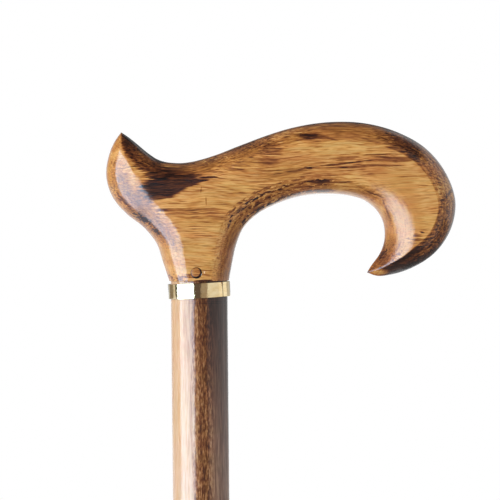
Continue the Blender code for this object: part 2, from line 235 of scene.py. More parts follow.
pegPlace = {
    "aside": -0.9,  # mm from the shaft's axis
    "up": 3.1,  # mm above the neck's end
    "radius": 2.0,
    "dome": 0.15,
    "domeRings": ((0, 0), (0, 0.5), (0.4, 0.85), (1, 1)),  # shares of the dome and of the radius
    "sides": 48,
    "holeRadius": 2.1,
    "holeLength": 60,
    "holeSides": 72,
    "offCentre": 0.06,  # the hole lies a touch to the right of the peg and below it
    "unshaded": (-0.25, 0.25, 1.65),  # x and z from its middle, radius: outside this its end is painted dark as shadow
    "shadowEdge": (-0.1, 0.15),  # mm round that radius
    "shadowToast": (0.32, 0.9),  # inside and outside it
    "grain": 0.44,  # how strongly the grain changes the toast
    "dent": (2.75, 0.25, 0.75),  # x and z from its middle, radius: pressed into the handle beside it
    "dentNarrowing": 0.7,
}


def smoothLine(points, steps):
    points = np.array(points, float)
    chords = np.diff(points, axis=0)
    gaps = np.linalg.norm(chords, axis=1)
    chords /= gaps[:, None]
    before, after = gaps[:-1, None], gaps[1:, None]
    inner = (chords[:-1] * after + chords[1:] * before) / (before + after)
    slopes = np.vstack((1.5 * chords[0] - 0.5 * inner[0], inner, 1.5 * chords[-1] - 0.5 * inner[-1]))
    line = []
    for i, count in enumerate(steps):
        t = np.arange(count)[:, None] / count
        line.append(
            points[i] * (2 * t**3 - 3 * t**2 + 1)
            + slopes[i] * gaps[i] * (t**3 - 2 * t**2 + t)
            + points[i + 1] * (3 * t**2 - 2 * t**3)
            + slopes[i + 1] * gaps[i] * (t**3 - t**2)
        )
    return np.vstack((*line, points[-1:]))


def blended(values, steps):
    places = np.cumsum((0, *steps))
    return np.interp(np.arange(places[-1] + 1), places, values)


def eased(share):
    share = np.clip(share, 0, 1)
    return share * share * (3 - 2 * share)


def nearestOn(line, points):
    # For each point, how far the line is and where along it, in steps
    starts, along = line[:-1], np.diff(line, axis=0)
    lengths = (along**2).sum(1)
    gaps, places = np.empty(len(points)), np.empty(len(points))
    batch = 2000
    for first in range(0, len(points), batch):
        these = slice(first, first + batch)
        some = points[these, None] - starts
        share = np.clip((some * along).sum(2) / lengths, 0, 1)
        away = np.linalg.norm(some - along * share[..., None], axis=2)
        nearest = away.argmin(1)
        row = np.arange(len(nearest))
        gaps[these] = away[row, nearest]
        places[these] = nearest + share[row, nearest]
    return gaps, places


def edgeHeights(points, line, widths):
    # The nearest round-over: 0 on the outline, 1 where the flat face starts. It is a quarter ellipse,
    # and near the nose's tip it straightens into a plane facet.
    spec = handleShape
    gaps, places = nearestOn(line, points)
    inside = np.minimum(1, gaps / np.interp(places, np.arange(len(widths)), widths))
    noseTip = np.array(noseRows[-1][:2])
    nearNose = eased(1 - np.linalg.norm(points - noseTip, axis=1) / spec["facetReach"])
    power = 2 + (spec["facetPower"] - 2) * nearNose
    heights = (1 - (1 - inside) ** power) ** (1 / power)
    return np.where(gaps < spec["onOutline"], 0, heights)


def handleEdges():
    spec = handleShape
    beakSteps, noseSteps = ([spec["stepsPerRow"]] * (len(rows) - 1) for rows in (beakRows, noseRows))
    topSteps = beakSteps + [spec["neckSteps"]] + noseSteps
    beak, nose = np.array(beakRows), np.array(noseRows)
    return {
        name: (smoothLine(rows[:, :2], steps), blended(rows[:, 2], steps))
        for name, rows, steps in (
            ("back", beak, beakSteps),
            ("under", nose, noseSteps),
            ("top", np.vstack((beak, nose))[:, 3:], topSteps),
        )
    }


def halfThickness(points, edges):
    spec = handleShape
    top = edges["top"][0]
    forward = eased(points[:, 0] / top[:, 0].max())
    grip = (spec["thickness"] + (spec["noseThickness"] - spec["thickness"]) * forward) / 2
    rise = eased(points[:, 1] / spec["flareHeight"])
    half = neckRadius / mm + (grip - neckRadius / mm) * rise
    for tip in (top[0], top[-1]):
        nearness = np.clip(1 - np.linalg.norm(points - tip, axis=1) / spec["tipReach"], 0, 1)
        half = half * (1 - spec["tipThinning"] * nearness**2)
    heights = np.array([edgeHeights(points, *edge) for edge in edges.values()])
    onOutline = heights.min(0) <= 0
    heights = np.maximum(heights, spec["leastHeight"])
    shortfall = ((1 / heights - 1) ** spec["ridgeSharpness"]).sum(0)
    return np.where(onOutline, 0, half / (1 + shortfall ** (1 / spec["ridgeSharpness"])))


def makeHandle(material):
    spec = handleShape
    edges = handleEdges()
    radius = neckRadius / mm
    turn = np.linspace(0, math.pi, spec["neckSteps"] + 1)[1:-1]
    neckEnd = np.column_stack((-radius * np.cos(turn), 0 * turn))
    lower = np.vstack((edges["back"][0], neckEnd, edges["under"][0]))
    upper = edges["top"][0]
    share = (1 - np.cos(np.linspace(0, math.pi, spec["stepsAcross"] + 1))) / 2
    points = lower[:, None] + (upper - lower)[:, None] * share[:, None]
    half = halfThickness(points.reshape(-1, 2), edges).reshape(points.shape[:2])
    corners = np.stack((points[..., 0], -half, points[..., 1] + seatHeight / mm), axis=-1) * mm
    lines, across = half.shape
    faces = []
    for i in range(lines - 1):
        for j in range(across - 1):
            here = i * across + j
            faces.append((here, here + 1, here + across + 1, here + across))
    left = len(beakRows[1:]) * spec["stepsPerRow"]
    faces.append([i * across for i in range(left, left + spec["neckSteps"] + 1)])
    mesh = bpy.data.meshes.new("carved_handle")
    mesh.from_pydata(corners.reshape(-1, 3).tolist(), [], faces)
    handle = addObject("carved_handle", mesh, material)
    mirror = handle.modifiers.new("back half", "MIRROR")
    mirror.use_axis = (False, True, False)
    mirror.merge_threshold = weldDistance
    meshFromModifiers(handle)
    tidyMesh(handle.data)
    fitToBox(handle, "handle")
    socketRadius, depth = spec["socketRadius"] * mm, spec["socketDepth"] * mm
    cutWith(handle, rod("socket", socketRadius, 2 * depth, spec["socketSides"], (0, 0, seatHeight)))
    cutWith(handle, pegHole(pegPlace["offCentre"]))
    markEdges(handle, edges)
    smoothFaces(handle)
    return handle


def fitToBox(made, node):
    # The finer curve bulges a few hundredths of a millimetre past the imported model's chords
    low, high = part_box(node)
    points = np.array([v.co for v in made.data.vertices])
    ownLow, ownHigh = points.min(0), points.max(0)
    points = (points - ownLow) / (ownHigh - ownLow) * (np.array(high) - np.array(low)) + np.array(low)
    made.data.vertices.foreach_set("co", points.ravel())


def pegHole(offCentre=0.0):
    spec = pegPlace
    middle = ((spec["aside"] + offCentre) * mm, 0, seatHeight + (spec["up"] - offCentre) * mm)
    radius, length = spec["holeRadius"] * mm, spec["holeLength"] * mm
    return rod("peg_hole", radius, length, spec["holeSides"], middle, alongY=True)


def markEdges(handle, edges):
    # For each outline a point learns how far in it lies, 0 on the outline and 1 where the flat face
    # starts, and how many mm along, so that stains and fibres can follow the edge
    points = np.array([v.co for v in handle.data.vertices])
    flat = np.column_stack((points[:, 0], points[:, 2] - seatHeight)) / mm
    for name, (line, widths) in edges.items():
        gaps, places = nearestOn(line, flat)
        steps = np.arange(len(line))
        travelled = np.cumsum((0, *np.linalg.norm(np.diff(line, axis=0), axis=1)))
        reach, along = gaps / np.interp(places, steps, widths), np.interp(places, steps, travelled)
        for quality, values in (("Reach", reach), ("Along", along)):
            attribute = handle.data.attributes.new(name + quality, "FLOAT", "POINT")
            attribute.data.foreach_set("value", values.astype(np.float32))


# Turned pieces: one Geometry Nodes tree sweeps a profile of (radius, height) round the shaft's axis

sweepRadius = 10 * mm


def turningTree():
    tree = bpy.data.node_groups.new("turned round the shaft", "GeometryNodeTree")
    add = partial(addNode, tree)
    for name, direction, kind in (
        ("Profile", "INPUT", "Geometry"),
        ("Sweep radius", "INPUT", "Float"),
        ("Sides", "INPUT", "Int"),
        ("Weld distance", "INPUT", "Float"),
        ("Finish", "INPUT", "Material"),
        ("Turned", "OUTPUT", "Geometry"),
    ):
        tree.interface.new_socket(name, in_out=direction, socket_type="NodeSocket" + kind)
    given = add("NodeGroupInput").outputs
    size = {"Resolution": given["Sides"], "Radius": given["Sweep radius"]}
    circle = add("GeometryNodeCurvePrimitiveCircle", size)
    upright = add("GeometryNodeSetCurveNormal", {"Curve": circle}, mode="Z_UP")
    profile = add("GeometryNodeMeshToCurve", {"Mesh": given["Profile"]})
    swept = add("GeometryNodeCurveToMesh", {"Curve": upright, "Profile Curve": profile})
    near = {"Geometry": swept, "Distance": given["Weld distance"]}
    welded = add("GeometryNodeMergeByDistance", near)
    real = add("GeometryNodeRealizeInstances", {"Geometry": welded})
    finished = add("GeometryNodeSetMaterial", {"Geometry": real, "Material": given["Finish"]})
    add("NodeGroupOutput", {0: finished})
    return tree


turning = turningTree()


def turnPiece(name, profile, sides, material):
    # profile: (radius, height) in metres, from the axis or closed in itself
    corners = [(radius - sweepRadius, -height, 0) for radius, height in profile]
    steps = [(i, i + 1) for i in range(len(corners) - 1)]
    if profile[0] == profile[-1]:
        corners.pop()
        steps[-1] = (len(corners) - 1, 0)
    mesh = bpy.data.meshes.new(name)
    mesh.from_pydata(corners, steps, [])
    made = addObject(name, mesh)
    sweep = made.modifiers.new("turned", "NODES")
    sweep.node_group = turning
    sizes = {"Sweep radius": sweepRadius, "Weld distance": weldDistance}
    values = {"Sides": sides, "Finish": material, **sizes}
    for socket in turning.interface.items_tree:
        if socket.name in values:
            sweep[socket.identifier] = values[socket.name]
    meshFromModifiers(made)
    tidyMesh(made.data)
    return made


def roundCorners(profile, radius, steps=5):
    # Each sharp corner of an open profile becomes a small arc; its two ends stay
    nearlyFlat = math.radians(170)
    mostOfSide = 0.45
    rounded = [profile[0]]
    for before, corner, after in zip(profile, profile[1:], profile[2:]):
        middle = Vector(corner)
        back, onward = Vector(before) - middle, Vector(after) - middle
        bend = back.angle(onward, math.pi)
        if bend > nearlyFlat:
            rounded.append(corner)
            continue
        reach = min(radius / math.tan(bend / 2), back.length * mostOfSide, onward.length * mostOfSide)
        start, end = middle + back.normalized() * reach, middle + onward.normalized() * reach
        for step in range(steps + 1):
            t = step / steps
            point = start * (1 - t) ** 2 + middle * 2 * t * (1 - t) + end * t**2
            rounded.append((point.x, point.y))
    rounded.append(profile[-1])
    return rounded


shaftShape = {
    "footDiameter": 18,  # mm
    "parallelLength": 300,
    "parallelFoot": 2,  # above the ferrule
    "edge": 0.6,
    "shoulderEdge": 0.12,
    "glueLine": 0.02,  # the shoulder is glued tight under the neck
    "tenonDiameter": 13,
    "tenonChamfer": 1,
    "sides": 160,
    "rings": 40,
}


def makeShaft(material):
    spec = {name: value * mm for name, value in shaftShape.items()}
    low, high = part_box("shaft")
    shoulder = seatHeight - spec["glueLine"]
    taperTop = shoulder - spec["parallelLength"]
    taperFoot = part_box("rubber_ferrule")[1].z + spec["parallelFoot"]
    foot, tenon, edge = spec["footDiameter"] / 2, spec["tenonDiameter"] / 2, spec["edge"]
    chamfer, shoulderEdge = spec["tenonChamfer"], spec["shoulderEdge"]
    profile = [(0, high.z), (tenon - chamfer, high.z), (tenon, high.z - chamfer), (tenon, shoulder)]
    profile += [(shaftRadius - shoulderEdge, shoulder), (shaftRadius, shoulder - shoulderEdge)]
    rings = shaftShape["rings"]
    for ring in range(1, rings + 1):
        height = shoulder + (taperFoot - shoulder) * ring / rings
        tapered = max(0, (taperTop - height) / (taperTop - taperFoot))
        profile.append((shaftRadius + (foot - shaftRadius) * tapered, height))
    profile += [(foot, low.z + edge), (foot - edge, low.z), (0, low.z)]
    shaft = turnPiece("turned_shaft", profile, shaftShape["sides"], material)
    cutWith(shaft, pegHole())
    smoothFaces(shaft)
    return shaft


def makePeg(material):
    # Two slightly domed ends, trimmed by hand a little below the handle's faces
    spec = pegPlace
    low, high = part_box("joint_peg")
    radius, dome, sides = spec["radius"] * mm, spec["dome"] * mm, spec["sides"]
    rings = [(low.y + dome * inwards, share) for inwards, share in spec["domeRings"]]
    rings += [(low.y + high.y - y, share) for y, share in reversed(rings)]
    middle = Vector((spec["aside"] * mm, 0, seatHeight + spec["up"] * mm))
    shape = bmesh.new()
    loops = []
    for y, share in rings:
        loop = []
        for i in range(sides if share else 1):
            angle = 2 * math.pi * i / sides
            place = Vector((math.cos(angle) * share * radius, y, math.sin(angle) * share * radius))
            loop.append(shape.verts.new(middle + place))
        loops.append(loop)
    for one, two in zip(loops, loops[1:]):
        for i in range(sides):
            corners = [one[i % len(one)], one[(i + 1) % len(one)]]
            corners += [two[(i + 1) % len(two)], two[i % len(two)]]
            shape.faces.new(list(dict.fromkeys(corners)))
    bmesh.ops.recalc_face_normals(shape, faces=shape.faces)
    peg = fromShape("cross_peg", shape, material)
    smoothFaces(peg, 60)
    return peg


collarShape = {
    "height": 5.5,  # mm
    "wall": 0.55,
    "tilt": 2.5,  # degrees, lower on the beak's side
    "seam": 0.3,  # mm
    "seamAngle": 50,  # degrees from the front face towards the nose
    "edge": 0.14,
    "sides": 240,
}


def makeCollar(material):
    spec = collarShape
    low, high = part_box("collar")
    tilt, seamAngle = math.radians(spec["tilt"]), math.radians(spec["seamAngle"])
    half, wall = spec["height"] / 2 * mm, spec["wall"] * mm
    bore = shaftRadius + fitGap + half * math.tan(tilt)
    outer = bore + wall
    profile = [(bore, 0), (bore, half), (outer, half), (outer, -half), (bore, -half), (bore, 0)]
    profile = roundCorners(profile, spec["edge"] * mm)
    collar = turnPiece("brass_collar", profile, spec["sides"], material)
    shape = bmesh.new()
    place = Matrix.Rotation(seamAngle, 4, "Z") @ Matrix.Translation((0, -bore, 0))
    place = place @ Matrix.Diagonal((spec["seam"] * mm, 4 * wall, 4 * half, 1))
    bmesh.ops.create_cube(shape, size=1, matrix=place)
    cutWith(collar, fromShape("seam", shape))
    middle = Matrix.Translation((0, 0, (low.z + high.z) / 2))
    collar.data.transform(middle @ Matrix.Rotation(-tilt, 4, "Y"))
    smoothFaces(collar)
    return collar


ferruleShape = {
    "wall": 3.2,  # mm
    "baseDiameter": 36,
    "floor": 9,
    "bead": 0.8,
    "ringWidth": 2.4,
    "flare": 2.5,
    "flareSteps": 24,
    "treadDepth": 1.5,
    "treadLand": 3,
    "treadCentre": 4.5,
    "edge": 0.35,
    "sides": 160,
}
discShape = {
    "edge": 0.25,  # mm
    "sides": 128,
}
edgeSteps = 3


def makeFerrule(material):
    spec = {name: value * mm for name, value in ferruleShape.items()}
    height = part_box("rubber_ferrule")[1].z
    bore = shaftShape["footDiameter"] / 2 * mm + fitGap
    bead, ringWidth, floor = spec["bead"], spec["ringWidth"], spec["floor"]
    wall, base = bore + spec["wall"], spec["baseDiameter"] / 2
    bodyTop = height - ringWidth - 2 * bead
    grooveTop = floor - ringWidth - 2 * bead
    profile = [(0, floor), (bore, floor), (bore, height - bead), (bore + bead, height), (wall, height)]
    profile += [(wall + bead, height - bead), (wall + bead, bodyTop + bead), (wall, bodyTop)]
    flareSteps = ferruleShape["flareSteps"]
    for step in range(1, flareSteps + 1):
        down = step / flareSteps
        radius = wall + (base - bead - wall) * down ** ferruleShape["flare"]
        profile.append((radius, bodyTop + (floor - bodyTop) * down))
    profile += [(base, floor - bead), (base, grooveTop + bead), (base - bead, grooveTop)]
    profile += [(base - bead, grooveTop - bead), (base, grooveTop - 2 * bead)]
    profile += [(base, 2 * bead), (base - bead, 0)]
    land, deep = spec["treadLand"], spec["treadDepth"]
    edge = base - bead - land
    while edge - land > spec["treadCentre"]:
        profile += [(edge, 0), (edge, deep), (edge - land, deep), (edge - land, 0)]
        edge -= 2 * land
    profile.append((0, 0))
    profile = roundCorners(profile, spec["edge"], edgeSteps)
    ferrule = turnPiece("moulded_ferrule", profile, ferruleShape["sides"], material)
    smoothFaces(ferrule, 50)
    return ferrule


def makeDisc(material):
    low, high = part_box("ferrule_disc")
    profile = [(0, high.z), (high.x, high.z), (high.x, low.z), (0, low.z)]
    profile = roundCorners(profile, discShape["edge"] * mm, edgeSteps)
    disc = turnPiece("steel_disc", profile, discShape["sides"], material)
    smoothFaces(disc, 50)
    return disc


# Wood: pale hardwood toasted with a flame, stained by its own heat from tan to nearly black, then
# lacquered. The eye sees long fibre lines, feathered scorch marks and a glassy, faintly rippled coat.

handleShades = (
    # how toasted it is, and its colour then
    (0.0, "#DCAC68"),
    (0.14, "#CE9650"),
    (0.27, "#BC7C3C"),
    (0.4, "#9F632E"),
    (0.54, "#7B4721"),
    (0.68, "#562B16"),
    (0.82, "#34180D"),
    (1.0, "#170B07"),
)
shaftShades = (
    # the shaft was bleached first, so its pale side is less golden
    (0.0, "#DAB692"),
    (0.14, "#C99E74"),
    (0.3, "#A97548"),
    (0.45, "#7E4D28"),
    (0.6, "#5C3116"),
    (0.75, "#412010"),
    (1.0, "#1C0F0A"),
)
woodSurface = {
    "fibreHeight": 0.006 * mm,  # what shows of the fibres in the lacquer
    "waveHeight": 0.03 * mm,  # slow waves, about 5 mm apart
    "peelHeight": 0.004 * mm,  # orange peel, under 1 mm
    "mattHeight": 0.013 * mm,
    "dentDepth": 0.14 * mm,
    "hue": (0.496, 0.504),  # 0.5 leaves it as it is
    "light": (0.88, 1.12),
    "roughness": (0.4, 0.6),
    "specular": 0.05,  # the lacquer soaks in, so the wood under it hardly shines by itself
    "coatRoughness": 0.17,
    "coatIor": 1.4,
}


def millimetres(add, origin=(0, 0, 0)):
    # Object coordinates, in mm from the origin
    place = add("ShaderNodeTexCoord").outputs["Object"]
    toMm = {"Vector": place, "Location": [-c / mm for c in origin], "Scale": [1 / mm] * 3}
    return add("ShaderNodeMapping", toMm)


def stretchedNoise(add, point, scale, detail=3.0, low=0.36, high=0.64):
    # Noise on mm coordinates, drawn out where the scale is small, spread over 0 to 1
    drawn = add("ShaderNodeMapping", {"Vector": point, "Scale": scale})
    lumps = {"Vector": drawn, "Scale": 1.0, "Detail": detail, "Roughness": 0.6}
    noise = add("ShaderNodeTexNoise", lumps)
    return add("ShaderNodeMapRange", ramped(noise, low, high))


def shifted(add, value, noise, amount):
    # value + (noise - 0.5) * amount
    centred = add("ShaderNodeMath", {0: noise, 1: 0.5}, operation="SUBTRACT")
    return add("ShaderNodeMath", {0: centred, 1: amount, 2: value}, operation="MULTIPLY_ADD")


def strip(add, value, middle, halfWidth, edge, peak=1.0):
    # The peak within halfWidth of the middle, fading to 0 over the edge
    away = add("ShaderNodeMath", {0: value, 1: middle}, operation="SUBTRACT")
    away = add("ShaderNodeMath", {0: away}, operation="ABSOLUTE")
    return add("ShaderNodeMapRange", ramped(away, halfWidth + edge, halfWidth, 0.0, peak), **smoothly)


def woodMaterial(name):
    surface = {
        "Specular IOR Level": woodSurface["specular"],
        "Coat Weight": 1.0,
        "Coat Roughness": woodSurface["coatRoughness"],
        "Coat IOR": woodSurface["coatIor"],
    }
    return newMaterial(name, surface)


def finishWood(add, shader, point, shades, toast, fibres, saturation=1.0, relief=()):
    # toast picks the shade, the fibres lighten and darken it and press through the lacquer.
    # relief: more heights on the lacquer, each with the name of its depth
    shade = add("ShaderNodeValToRGB", {"Fac": toast}, stops=shades)
    clouds = stretchedNoise(add, point, (0.06, 0.1, 0.16), 2.0)
    hue, light, rough = (
        add("ShaderNodeMapRange", ramped(pattern, 0.0, 1.0, *woodSurface[quality]))
        for pattern, quality in ((clouds, "hue"), (fibres, "light"), (fibres, "roughness"))
    )
    tuned = {"Color": shade, "Hue": hue, "Saturation": saturation, "Value": light}
    colour = add("ShaderNodeHueSaturation", tuned)
    waves = stretchedNoise(add, point, (0.2, 0.2, 0.2), 2.0)
    peel = stretchedNoise(add, point, (1.3, 1.3, 1.3), 1.0)
    # One bump for all the heights: each bump works out everything below it two more times
    height = 0.0
    for pattern, depth in ((waves, "waveHeight"), (peel, "peelHeight"), (fibres, "fibreHeight"), *relief):
        scaled = {0: pattern, 1: woodSurface[depth], 2: height}
        height = add("ShaderNodeMath", scaled, operation="MULTIPLY_ADD")
    lacquer = add("ShaderNodeBump", {"Height": height, "Distance": 1.0})
    fibreBump = {"Height": fibres, "Distance": woodSurface["fibreHeight"], "Normal": lacquer}
    bare = add("ShaderNodeBump", fibreBump)
    surface = {"Base Color": colour, "Roughness": rough, "Normal": bare, "Coat Normal": lacquer}
    setInputs(shader, surface)


# Scorch marks on the handle, like strokes of a brush: each paints its toast level over those before.
# x and z are mm from the middle of the neck's end, as seen on the front.
handleMarks = {
    # name: (x, z, half length, half height, tilt in degrees, toast level, softness, raggedness)
    "grip": (38.0, 44.0, 27.0, 9.0, 6, 0.27, 0.8, 0.6),
    "golden under the strokes": (31.8, 38.6, 5.0, 1.6, 8, 0.34, 0.6, 0.8),
    "light flat under the rim": (52.0, 48.2, 15.0, 2.4, 2, 0.12, 0.6, 0.4),
    "light start of the hook": (75.0, 40.0, 6.0, 3.0, -20, 0.07, 0.6, 0.5),
    "golden hook": (84.0, 27.0, 8.0, 14.0, 0, 0.16, 0.6, 0.4),
    "brown on the rise": (20.5, 46.2, 12.0, 2.9, 24, 0.38, 0.6, 0.7),
    "blotch on the rise": (25.6, 49.2, 3.7, 3.9, -10, 0.58, 0.4, 0.65),
    "below that blotch": (25.6, 44.4, 3.4, 2.8, 0, 0.48, 0.4, 0.9),
    "first stain on the rise": (6.5, 43.7, 6.5, 1.7, 8, 0.56, 0.5, 0.8),
    "second stain on the rise": (16.5, 48.0, 8.5, 2.0, 21, 0.56, 0.5, 0.7),
    "third stain on the rise": (12.5, 44.8, 4.5, 1.2, 16, 0.42, 0.5, 1.0),
    "saddle": (-4.5, 41.2, 14.5, 3.0, 2, 0.47, 0.5, 0.4),
    "brown under the gloss": (-23.8, 31.8, 11.5, 3.8, -60, 0.5, 0.6, 0.3),
    "brown down the neck": (-13.6, 19.5, 9.0, 3.0, -50, 0.44, 0.6, 0.3),
    "glow left of the char": (-22.3, 37.9, 2.6, 4.2, -20, 0.2, 0.6, 0.3),
    "feathered left side": (-16.8, 34.2, 3.9, 4.8, -10, 0.66, 0.5, 0.7),
    "between beak and char": (-17.0, 42.0, 6.4, 3.4, -30, 0.68, 0.4, 0.3),
    "over the char": (-9.5, 40.0, 8.0, 1.7, -7, 0.7, 0.5, 0.25),
    "char": (-13.2, 35.6, 5.6, 5.0, 0, 0.86, 0.3, 0.5),
    "lower edge of the char": (-9.0, 33.2, 7.5, 1.5, 22, 0.84, 0.3, 0.4),
    "char to the right": (-5.6, 36.8, 6.6, 2.2, 6, 0.84, 0.3, 0.35),
    "tip of the char": (0.6, 36.8, 3.2, 0.6, 8, 0.8, 0.3, 0.2),
    "dart over the tip": (3.7, 38.1, 3.6, 0.42, 4, 0.84, 0.4, 0.25),
    "lobe under the char": (-15.3, 30.9, 3.2, 1.0, -8, 0.76, 0.35, 0.6),
    "brown under the char": (0.6, 25.0, 14.0, 3.2, 0, 0.25, 0.7, 0.8),
    "upper line under it": (-2.4, 26.3, 13.0, 0.45, 0, 0.46, 0.5, 0.9),
    "middle line under it": (-1.3, 25.0, 12.0, 0.4, 0, 0.5, 0.5, 1.0),
    "lower line under it": (-2.4, 23.3, 9.0, 0.35, 0, 0.42, 0.5, 1.0),
    "dark start of the lines": (-13.6, 26.3, 2.0, 0.5, -5, 0.62, 0.5, 0.3),
    "hairline crack": (3.0, 29.4, 0.25, 1.5, 2, 0.46, 0.4, 0.1),
    "crack above it": (1.2, 33.6, 0.25, 1.2, -8, 0.38, 0.4, 0.1),
    "left of the knot": (34.9, 51.7, 5.0, 1.2, 5, 0.42, 0.5, 0.8),
    "first lines on the grip": (34.0, 39.8, 4.6, 0.8, 8, 0.56, 0.25, 0.9),
    "black stroke on the grip": (40.6, 41.3, 1.5, 0.4, -10, 0.88, 0.3, 0.3),
    "long line on the grip": (54.4, 42.8, 12.4, 0.34, 6, 0.68, 0.25, 0.6),
    "line below it": (54.4, 41.5, 12.4, 0.3, 1, 0.58, 0.25, 0.8),
    "line towards the hook": (66.6, 42.1, 11.0, 0.3, -2, 0.54, 0.25, 0.6),
    "dense lines above it": (69.9, 44.3, 5.5, 1.4, -5, 0.48, 0.3, 1.3),
    "lowest line on the grip": (52.0, 38.6, 12.0, 0.3, 1, 0.44, 0.3, 0.7),
    "purple line over the fingers": (45.2, 36.1, 4.2, 0.6, -1, 0.72, 0.3, 0.25),
    "its thin end": (54.3, 36.0, 6.5, 0.35, 2, 0.58, 0.3, 0.5),
    "specks before the hook": (61.0, 32.4, 5.0, 1.8, -5, 0.3, 0.5, 1.6),
    "marks along the inner edge": (65.2, 31.2, 3.4, 0.3, -22, 0.62, 0.3, 0.5),
    "pale inside the hook": (73.5, 22.5, 4.5, 9.0, 8, 0.16, 0.6, 0.3),
    "tan inside the hook": (70.1, 18.5, 1.9, 7.5, 0, 0.25, 0.5, 0.4),
    "line inside the hook": (69.4, 25.5, 4.9, 0.3, -70, 0.42, 0.4, 0.7),
    "faint line on the hook": (81.0, 37.9, 6.0, 0.3, 0, 0.34, 0.5, 0.8),
    "dark fleck on the hook": (82.3, 17.2, 1.3, 0.45, -10, 0.84, 0.3, 0.5),
    "smudge under the fleck": (80.4, 15.7, 1.8, 1.2, 0, 0.46, 0.5, 1.6),
    "inside of the nose": (67.7, 6.0, 4.8, 4.2, 55, 0.47, 0.5, 1.0),
    "dark corner inside the nose": (68.0, 9.2, 0.9, 1.9, -30, 0.74, 0.4, 0.6),
    "rust along the beak's back": (-26.4, 28.9, 8.0, 1.7, -50, 0.36, 0.5, 1.0),
    "dark streak in the rust": (-25.5, 27.6, 6.0, 0.45, -48, 0.62, 0.5, 1.0),
    "first spot under the beak": (-19.8, 22.9, 3.2, 0.9, -32, 0.82, 0.4, 0.7),
    "second spot under the beak": (-15.4, 18.5, 1.9, 0.8, -35, 0.76, 0.4, 0.8),
    "reddish foot of the neck": (-5.9, 1.3, 3.2, 0.9, 0, 0.55, 0.4, 1.4),
    # Painted shadow: a dark line at the neck's foot, where the joint over the collar lies in shade
    "shadow line over the collar": (1.6, 0.2, 3.2, 0.35, 0, 0.85, 0.3, 0.4),
}
# The same, but only on the upper side of the beak's ridge, which is charred
beakMarks = {
    "top of the beak": (-20.5, 48.5, 9.5, 5.5, -42, 0.72, 0.3, 0.15),
    "browner middle": (-20.4, 46.0, 3.4, 1.9, -30, 0.6, 0.5, 0.5),
}
# The same, but only on the rounded outer rim of grip and hook
rimMarks = {
    "top of the rim": (57.0, 55.0, 20.0, 7.0, 3, 0.4, 0.3, 0.25),
    "whole outer rim": (84.0, 24.0, 24.0, 34.0, 0, 0.44, 0.12, 0.2),
    "dark start": (76.0, 50.0, 7.8, 3.2, -30, 0.7, 0.45, 0.5),
    "char at the start": (79.6, 45.6, 2.4, 1.8, -40, 0.82, 0.4, 0.5),
    "warmer stretch": (91.2, 31.6, 4.0, 5.0, 0, 0.3, 0.5, 0.5),
    "slanting stripe": (91.6, 30.5, 3.2, 0.6, 48, 0.66, 0.4, 0.5),
    "speckled stretch": (89.7, 18.0, 5.5, 7.5, 0, 0.6, 0.4, 0.8),
    "char under the nose": (78.4, 6.8, 11.5, 5.2, 27, 0.82, 0.4, 0.4),
    "brown streak through it": (79.6, 8.2, 6.5, 0.7, 30, 0.64, 0.5, 0.6),
    "pale tip": (64.8, 2.2, 4.4, 1.5, 0, 0.1, 0.5, 0.3),
}
knotMarks = {
    "halo of the knot": (41.5, 52.6, 7.5, 1.9, -3, 0.42, 0.6, 0.5),
    "knot": (41.6, 52.9, 4.9, 1.35, -3, 0.68, 0.35, 0.3),
    "heart of the knot": (41.8, 53.2, 3.6, 0.5, -6, 0.86, 0.4, 0.3),
    "tail of the knot": (48.0, 52.2, 3.8, 0.45, -16, 0.6, 0.4, 0.4),
}
# Fibres cut by the round-overs: how long and how thick they are along each edge, and how strong
edgeFibres = {
    # name: (1 / mm along, 1 / mm across, strength)
    "back": (0.3, 1.4, 0.1),
    "under": (0.3, 1.6, 0.16),
    "top": (0.16, 1.6, 0.14),
}
# How strongly each pattern changes the toast, and the stains that follow the edges. A reach is how
# far in from an edge, as a share of the round-over's width.
handleStain = {
    "grainSwing": 1.6,  # mm that the grain waves up and down
    "wood": 0.145,
    "bands": 0.16,
    "lines": (0.08, 0.2),  # in pale bands and in dark ones
    "fineLines": 0.24,
    "dashes": 0.28,
    "backDrift": (0.8, 0.45),  # mm to the nose and up, for each mm behind the middle plane
    "reachWidth": 8.5,  # mm, about what a reach of 1 is
    "ragged": 0.06,
    "mottled": (0.4, 0.3, 0.2, 0.4),  # reach of its middle, half width, edge, toast level
    "strokes": ((0.8, 0.58), (0.6, 0.95), (0.4, 0.64), (0.14, 0.8)),  # reach, toast level
    "strokeWidth": (0.045, 0.05),  # half width, edge
    "byFingers": (28, 17, 10),  # x, half width and edge in mm
    "insideHook": (72, 5, 8),
}
handleFades = {
    # name: (from, to, low, high), over a reach, or over x or z in mm
    "neckSide": (0.85, 0.4, 0, 0.38),
    "lowDown": (26, 17),
    "higherUp": (17, 22),
    "beakTop": (-0.06, 0.04),
    "rim": (1.0, 0.9),
    "outerSide": (-0.02, 0.08),
    "hookRim": (70, 86, 0, 0.24),
    "clear": (0.2, 1.0, 0.35, 1),
    # painted shade along the upper outline, and toast added all over
    "toastAndTopRimShade": (0.16, 0.04, 0.08, 0.28),  # the low value goes on everywhere
    "cutFibres": (1.0, 0.6, 0),  # up to each edge's own strength
}
markSpread = 4  # a mark's gradient falls to nothing this many times its size away
markDepth = 1000  # mm, right through the handle


